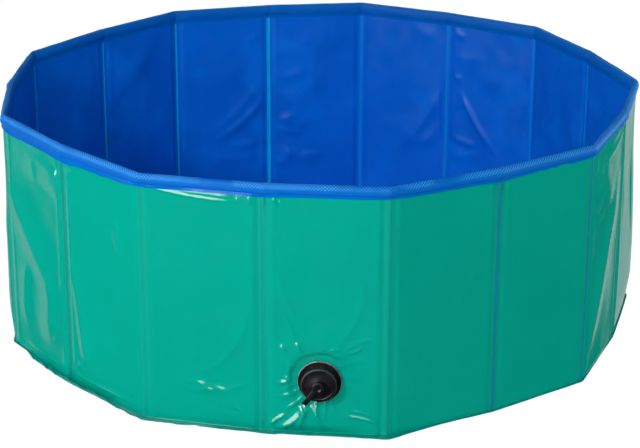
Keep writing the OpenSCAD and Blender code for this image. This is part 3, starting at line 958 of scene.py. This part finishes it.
def makeFloorSector(n):
    turn = panelMatrix(n)
    wallA, wallB = (turn @ Vector((x, wallHalf - floor["inWall"], 0)) for x in (0, panelLength))
    endA, endB = (point.normalized() * -floor["past"] for point in (wallA, wallB))
    along = (wallB - wallA).normalized()

    def place(k, t):
        lap = along * (floor["lap"] * min(1.0, 6 * t) * (1 - t) + floor["lapMiddle"] * t)
        p = (wallA.lerp(endA, t) - lap).lerp(wallB.lerp(endB, t) + lap, k)
        return p.x, p.y

    obj = makeFloorPiece(f"floorSector_{n:02d}", place, 26, 56, floor["step"] * (5 * n % panelCount))
    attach(obj, bodyOf(n))
    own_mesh(obj)
    return obj


def makeFloorMiddle():
    def place(i, j):                             # a square grid pressed into a circle
        a, b = 2 * i - 1, 2 * j - 1
        return a * math.sqrt(1 - b * b / 2) * floor["disc"], b * math.sqrt(1 - a * a / 2) * floor["disc"]

    obj = makeFloorPiece("floorMiddle", place, 49, 49, -0.2 * mm)
    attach(obj, "base")
    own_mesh(obj)
    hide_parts("floor_sheet")
    return obj


floorSectors = {n: makeFloorSector(n) for n in range(1, panelCount + 1)}
floorMiddle = makeFloorMiddle()
print("floor sheet made")


# The drain, in mm; heights run outwards from the middle of the wall
drain = {
    "flangeR": 25.0, "flangeOut": 4.0, "flangeFrom": 1.5, "barrelR": 15.0, "barrelIn": -13.3, "boreR": 12.0,
    "spoutR": 16.5, "spoutOut": 12.0, "capR": 20.0, "capIn": 4.3, "capOut": 14.5, "knobOut": 16.7,
    "ribs": 44, "ribOut": 1.0, "ribHalf": 0.75, "ribLean": 0.22,
    "threadOut": 0.55, "threadHalf": 0.7, "spoutPitch": 4.0, "barrelPitch": 2.6,
}
strap = {"ringIn": 4.25 * mm, "ringOut": 7.3 * mm, "half": 3.0 * mm, "thick": 1.6 * mm, "reach": 29.5 * mm,
         "bendFrom": 17.876 * mm, "drop": 2.5 * mm, "base": 14.8 * mm, "edge": 0.35 * mm}
drainMatrix = Matrix.Translation(drainAxis) @ Matrix(((1, 0, 0, 0), (0, 0, -1, 0), (0, 1, 0, 0), (0, 0, 0, 1)))


def aroundAxis(radius, angle):
    return radius * math.cos(angle), radius * math.sin(angle)


# Closed outline of (radius, height) in mm, turned round the drain's axis
def revolve(name, outline, finish, count=96):
    mesh = bpy.data.meshes.new(name)
    points, faces, rows = [], [], []
    for r, h in outline:
        copies = 1 if r < 1e-6 else count          # one point where the outline meets the axis
        rows.append([len(points) + i % copies for i in range(count)])
        for i in range(copies):
            x, y = aroundAxis(r * mm, 2 * math.pi * i / count)
            points.append((x, y, h * mm))
    for row, following in zip(rows, rows[1:] + rows[:1]):
        for i in range(count):
            j = (i + 1) % count
            face = list(dict.fromkeys((row[i], row[j], following[j], following[i])))
            if len(face) > 2:
                faces.append(face)
    mesh.from_pydata(points, [], faces)
    return finishSolid(name, mesh, finish)


def finishSolid(name, mesh, finish):
    mesh.name = name
    crisp = math.radians(35)                      # edges that turn by more than this stay sharp
    work = bmesh.new()
    work.from_mesh(mesh)
    bmesh.ops.remove_doubles(work, verts=work.verts, dist=1e-6)
    bmesh.ops.recalc_face_normals(work, faces=work.faces)
    for edge in work.edges:
        edge.smooth = len(edge.link_faces) == 2 and edge.calc_face_angle() < crisp
    for face in work.faces:
        face.smooth = True
    work.to_mesh(mesh)
    work.free()
    mesh.transform(drainMatrix)
    mesh.materials.clear()
    mesh.materials.append(finish)
    return addObject(name, mesh)


def finishDrainPiece(obj, body, node):
    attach(obj, body)
    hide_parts(node)
    return obj


# Copies of one small shape set round a circle
def makeRoundTree():
    tree, start = newTree("setRound", [("Shape", "Object"), ("Count", "Int"), ("Radius", "Float")])
    circle = addNode(tree, "GeometryNodeMeshCircle", {"Vertices": start["Count"], "Radius": start["Radius"]})
    place = addNode(tree, "GeometryNodeInputPosition").outputs[0]
    aim = addNode(tree, "FunctionNodeAlignRotationToVector", {"Vector": place}, axis="X", pivot_axis="Z")
    shape = addNode(tree, "GeometryNodeObjectInfo", {0: start["Shape"]})
    copies = addNode(tree, "GeometryNodeInstanceOnPoints",
                     {"Points": circle.outputs[0], "Instance": shape.outputs["Geometry"],
                      "Rotation": aim.outputs[0]})
    return endTree(tree, start, copies.outputs[0])


# A ridge of the given section along a line, upright all the way
def makeThreadTree():
    tree, start = newTree("threadRidge", [("Section", "Object")])
    section = addNode(tree, "GeometryNodeObjectInfo", {0: start["Section"]}).outputs["Geometry"]
    upright = addNode(tree, "GeometryNodeSetCurveNormal", {"Curve": start["Geometry"]}, mode="Z_UP")
    ridge = addNode(tree, "GeometryNodeCurveToMesh",
                    {"Curve": upright.outputs[0], "Profile Curve": section, "Fill Caps": True})
    return endTree(tree, start, ridge.outputs[0])


roundTree = makeRoundTree()
threadTree = makeThreadTree()


# One slanted grip rib, standing on the cap's side
def ribShape():
    low, high, half = (drain["capIn"] + 0.5) * mm, (drain["capOut"] - 1.6) * mm, drain["ribHalf"] * mm
    foot, shoulder, top = -0.5 * mm, 0.55 * mm, drain["ribOut"] * mm
    outline = [(foot, -half), (shoulder, -half * 0.8), (top, -half * 0.3),
               (top, half * 0.3), (shoulder, half * 0.8), (foot, half)]
    levels = [(low, 0.55), (low + 0.5 * mm, 1.0), (high - 0.8 * mm, 1.0), (high, 0.3)]
    points, faces = [], []
    for z, size in levels:
        lean = (z - (low + high) / 2) * drain["ribLean"]
        points += [(x if x < 0 else x * size, y * (0.6 + 0.4 * size) + lean, z) for x, y in outline]
    n = len(outline)
    for k in range(0, len(points) - n, n):
        faces += [(k + i, k + (i + 1) % n, k + n + (i + 1) % n, k + n + i) for i in range(n)]
    faces += [tuple(range(n))[::-1], tuple(range(len(points) - n, len(points)))]
    mesh = bpy.data.meshes.new("rib")
    mesh.from_pydata(points, [], faces)
    return addObject("rib", mesh)


# A screw thread: a ridge swept along a rising circle
def screwThread(radius, low, high, pitch):
    turns = (high - low) / pitch
    count = int(48 * turns)
    path = []
    for i in range(count + 1):
        x, y = aroundAxis(radius * mm, 2 * math.pi * turns * i / count)
        path.append((x, y, (low + (high - low) * i / count) * mm))
    out, half, flat = drain["threadOut"] * mm, drain["threadHalf"] * mm, 0.2 * mm
    ridge = lineObject([(0, -half, 0), (out, -flat, 0), (out, flat, 0), (0, half, 0)], True)
    mesh = runTree(lineObject(path), threadTree, {"Section": ridge, "Finish": blackPlastic})
    return finishSolid("thread", mesh, blackPlastic)


def joinParts(obj, parts):
    work = bmesh.new()
    work.from_mesh(obj.data)
    for part in parts:
        work.from_mesh(part.data)
        bpy.data.objects.remove(part)
    work.to_mesh(obj.data)
    work.free()


# A quarter of a circle round (r, h), from the given angle
def roundedEdge(r, h, size, fromAngle, steps=4):
    turns = [math.radians(fromAngle + 90 * i / steps) for i in range(steps + 1)]
    return [(r + size * math.cos(turn), h + size * math.sin(turn)) for turn in turns]


def makeDrainBody():
    bore, barrel, spout, flange = drain["boreR"], drain["barrelR"], drain["spoutR"], drain["flangeR"]
    inner, face, tip, cap = drain["barrelIn"], drain["flangeOut"], drain["spoutOut"], drain["capR"]
    back = drain["flangeFrom"]
    outline = ([(bore, inner + 0.4), (bore + 0.4, inner), (barrel - 1.0, inner), (barrel - 0.5, inner + 0.5),
                (barrel - 0.5, back), (flange - 0.4, back), (flange, back + 0.4)]
               + roundedEdge(flange - 0.9, face - 0.9, 0.9, 0)
               + [(flange - 2.2, face - 0.25), (cap + 1.2, face - 0.25), (cap + 0.7, face - 0.9),
                  (spout + 1.2, face - 0.9), (spout - 0.5, face - 0.2), (spout - 0.5, tip - 0.6),
                  (spout - 1.1, tip), (bore + 0.6, tip), (bore, tip - 0.6)])
    obj = revolve("drainBody", outline, drainPlastic)
    joinParts(obj, [screwThread(spout - 0.6, face + 1.2, tip - 1.3, drain["spoutPitch"]),
                    screwThread(barrel - 0.6, inner + 1.0, -0.6, drain["barrelPitch"])])
    return finishDrainPiece(obj, "base", "drain_body")


makeDrainBody()


def makeCap():
    cap, low, out, knob = drain["capR"], drain["capIn"], drain["capOut"], drain["knobOut"]
    hollow, roof = drain["spoutR"] + 0.3, drain["spoutOut"] + 0.3
    dish, neck = out - 0.35, 4.0
    outline = ([(hollow, low), (cap - 0.2, low), (cap, low + 0.3)] + roundedEdge(cap - 1.1, out - 1.1, 1.1, 0)
               + [(cap - 3.2, out), (cap - 3.7, dish), (9.2, dish), (8.6, out), (4.6, out),
                  (neck, out + 0.5), (neck, knob - 0.2), (4.4, knob), (5.9, knob)]
               + roundedEdge(6.1, knob + 1.0, 1.0, -90) + roundedEdge(6.0, knob + 3.9, 1.1, 0)
               + [(3.6, knob + 5.0), (2.8, knob + 4.4), (0.0, knob + 4.2), (0.0, roof), (hollow, roof)])
    obj = revolve("screwCap", outline, drainPlastic)
    holder = addObject("holder", bpy.data.meshes.new("holder"))
    ribs = runTree(holder, roundTree, {"Shape": ribShape(), "Count": drain["ribs"], "Radius": cap * mm,
                                       "Finish": blackPlastic})
    joinParts(obj, [finishSolid("ribs", ribs, blackPlastic)])
    return finishDrainPiece(obj, "cap", "drain_cap")


makeCap()


# The strap: a ring clipped under the knob and a flat arm with a squared end
def makeStrap():
    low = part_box("cap_strap")[0]
    turn = math.atan2(low.z - drainAxis.z, low.x - drainAxis.x)
    half, base, ringOut, bendFrom = strap["half"], strap["base"], strap["ringOut"], strap["bendFrom"]
    start = math.asin(half / ringOut)
    angles = [start + (2 * math.pi - 2 * start) * i / 36 for i in range(37)]
    work = bmesh.new()

    def drop(x):                                  # the arm bends back towards the wall past the cap's edge
        return base - strap["drop"] * ease((x - bendFrom) / (strap["reach"] - bendFrom))

    rows = [[work.verts.new((*aroundAxis(r, a), base)) for r in (strap["ringIn"], ringOut)] for a in angles]
    for p, q in zip(rows, rows[1:]):
        work.faces.new((p[0], q[0], q[1], p[1]))
    root = ringOut * math.cos(start)
    xs = [root + (strap["reach"] - root) * i / 18 for i in range(19)]
    left = [rows[0][1]] + [work.verts.new((x, half, drop(x))) for x in xs[1:]]
    right = [rows[-1][1]] + [work.verts.new((x, -half, drop(x))) for x in xs[1:]]
    middle = [work.verts.new((x, 0, drop(x))) for x in [strap["ringIn"]] + xs]
    work.faces.new((rows[0][0], rows[0][1], middle[1], middle[0]))
    work.faces.new((rows[-1][0], middle[0], middle[1], rows[-1][1]))
    for i in range(len(xs) - 1):
        work.faces.new((left[i], left[i + 1], middle[i + 2], middle[i + 1]))
        work.faces.new((right[i], middle[i + 1], middle[i + 2], right[i + 1]))
    bmesh.ops.recalc_face_normals(work, faces=work.faces)
    if sum(face.normal.z for face in work.faces) < 0:
        bmesh.ops.reverse_faces(work, faces=work.faces)
    mesh = bpy.data.meshes.new("capStrap")
    work.to_mesh(mesh)
    work.free()
    mesh.transform(drainMatrix @ Matrix.Rotation(turn, 4, "Z"))
    mesh.materials.append(blackPlastic)
    mesh.shade_smooth()
    obj = addObject("capStrap", mesh)
    solid = obj.modifiers.new("thickness", "SOLIDIFY")
    solid.thickness, solid.offset = strap["thick"], 1
    bevel = obj.modifiers.new("edges", "BEVEL")
    bevel.width, bevel.segments, bevel.limit_method = strap["edge"], 2, "ANGLE"
    bevel.angle_limit = math.radians(50)
    return finishDrainPiece(obj, "strap", "cap_strap")


makeStrap()

# What the skins hide keeps its own mesh and gets its finish here
for nodeName, node in frame["nodes"].items():
    finish = fibreboard if nodeName.startswith("board") else blackPlastic
    node.data.materials.clear()
    node.data.materials.append(blackRubber if nodeName == "drain_washers" else finish)
print("drain made")


# Goes over each corner's inner strip and rim pieces without changing or keeping anything
for n in range(1, panelCount + 1):
    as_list(innerStrips[n])
    for piece in rims[n]:
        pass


# Camera and studio
shot = {"azimuth": 4.965, "elevation": 20.04, "distance": 2.435, "lens": 104.88, "aim": (0, 0, 0.15),
        "tilt": 19.89, "shiftX": 0.0026, "shiftY": -0.06, "roll": 0.153}
# What the gloss sees of the air: bright behind the tub, dark in front of it, fading upwards
air = {"level": 0.43, "aloft": 0.2, "colour": (0.93, 0.97, 1.0, 1), "dark": 0.006, "bright": 0.4,
       "brightTowards": (-0.342, 0.94, 0)}
ground = {"size": 9.0, "pale": 0.75, "paper": 0.9, "glow": 1.1, "glowShare": 0.88}
# Each lamp: place, aim, size, power, and whether it shows only in the gloss
lamps = {
    "keyLamp": ((-1.06, -1.98, 1.33), (0, -0.1, 0.15), (0.5, 0.5), 22.5, False),
    "frontLamp": ((0.08, -2.36, 1.25), (0, 0, 0.15), (1.4, 0.7), 15.0, False),
    "leftCard": ((-2.2, -0.75, 0.2), (-0.3, -0.2, 0.15), (1.0, 0.3), 9.5, False),
    "rightCard": ((2.2, 0.75, 0.2), (0.35, 0, 0.15), (1.0, 0.3), 26.5, False),
    "topLamp": ((0.3, -0.4, 2.6), (0, 0, 0.2), (1.2, 0.5), 2.0, False),
    "gleamPanel": ((-1.3, -2.2, 1.1), (0, -0.3, 0.15), (1.6, 1.5), 66.0, True),
    "sidePanel": ((-2.3, -1.1, 0.9), (0, -0.3, 0.15), (1.6, 1.5), 48.0, True),
    "lowPanel": ((-0.98, -2.57, 0.32), (0, -0.3, 0.15), (0.9, 0.55), 10.0, True),
}


def makeCamera():
    a, e, t = (math.radians(shot[key]) for key in ("azimuth", "elevation", "tilt"))
    back = Vector((math.sin(a) * math.cos(e), -math.cos(a) * math.cos(e), math.sin(e)))
    ahead = Vector((-math.sin(a) * math.cos(t), math.cos(a) * math.cos(t), -math.sin(t)))
    roll = Matrix.Rotation(math.radians(shot["roll"]), 3, "Z").to_quaternion()
    camera = addObject("camera", bpy.data.cameras.new("camera"))
    camera.location = Vector(shot["aim"]) + back * shot["distance"]
    camera.rotation_mode = "QUATERNION"
    camera.rotation_quaternion = ahead.to_track_quat("-Z", "Y") @ roll
    camera.data.lens, camera.data.sensor_width = shot["lens"], 36
    camera.data.shift_x, camera.data.shift_y = shot["shiftX"], shot["shiftY"]
    camera.data.clip_start, camera.data.clip_end = 0.05, 60
    scene.camera = camera


def mixShader(tree, factor, first, second):
    return addNode(tree, "ShaderNodeMixShader", {0: factor, 1: first, 2: second}).outputs[0]


def backgroundNode(tree, colour, level):
    return addNode(tree, "ShaderNodeBackground", {0: colour, 1: level}).outputs[0]


def diffuseNode(tree, grey):
    return addNode(tree, "ShaderNodeBsdfDiffuse", {0: (grey, grey, grey, 1)}).outputs[0]


def makeWorld():
    world = bpy.data.worlds.new("studioAir")
    scene.world = world
    world.use_nodes = True
    tree = world.node_tree
    tree.nodes.clear()
    white = (1, 1, 1, 1)
    rays = addNode(tree, "ShaderNodeLightPath").outputs
    way = addNode(tree, "ShaderNodeTexCoord").outputs["Generated"]
    height = addNode(tree, "ShaderNodeSeparateXYZ", {0: way}).outputs[2]
    facing = vectorNode(tree, "DOT_PRODUCT", way, air["brightTowards"], "Value")
    behind = rangeNode(tree, facing, 0.57, 0.67, air["dark"], air["bright"])
    low = rangeNode(tree, height, 0.1, 0.3, 1.0, 0.3)
    level = rangeNode(tree, height, 0.25, 0.75, air["level"], air["level"] * air["aloft"])
    glossy = mixShader(tree, rays["Is Glossy Ray"], backgroundNode(tree, air["colour"], level),
                       backgroundNode(tree, white, times(tree, behind, low)))
    seen = mixShader(tree, rays["Is Camera Ray"], glossy, backgroundNode(tree, white, 1.0))
    addNode(tree, "ShaderNodeOutputWorld", {0: seen})


# A pale sweep: white to the eye, with the tub's soft shadow. The gloss mirrors the studio and not the floor.
def makeGround():
    mesh = bpy.data.meshes.new("ground")
    outline = [(x * ground["size"], y * ground["size"], 0) for x, y in ((-1, -1), (1, -1), (1, 1), (-1, 1))]
    mesh.from_pydata(outline, [], [(0, 1, 2, 3)])
    material = bpy.data.materials.new("paleSweep")
    material.use_nodes = True
    tree = material.node_tree
    tree.nodes.clear()
    rays = addNode(tree, "ShaderNodeLightPath").outputs
    glow = addNode(tree, "ShaderNodeEmission", {0: (1, 1, 1, 1), 1: ground["glow"]}).outputs[0]
    eye = mixShader(tree, ground["glowShare"], diffuseNode(tree, ground["paper"]), glow)
    seen = mixShader(tree, rays["Is Camera Ray"], diffuseNode(tree, ground["pale"]), eye)
    addNode(tree, "ShaderNodeOutputMaterial", {0: seen})
    mesh.materials.append(material)
    sweep = addObject("ground", mesh)
    sweep.visible_glossy = False


def makeLamp(name, place, aim, size, power, onlyGloss):
    lamp = bpy.data.lights.new(name, "AREA")
    lamp.shape = "RECTANGLE"
    lamp.size, lamp.size_y = size
    lamp.energy = power
    obj = addObject(name, lamp)
    obj.location = place
    obj.rotation_mode = "QUATERNION"
    obj.rotation_quaternion = (Vector(aim) - Vector(place)).to_track_quat("-Z", "Y")
    obj.visible_diffuse = not onlyGloss


makeCamera()
makeWorld()
makeGround()
for name, settings in lamps.items():
    makeLamp(name, *settings)
scene.view_settings.view_transform = "Standard"
print("studio made")
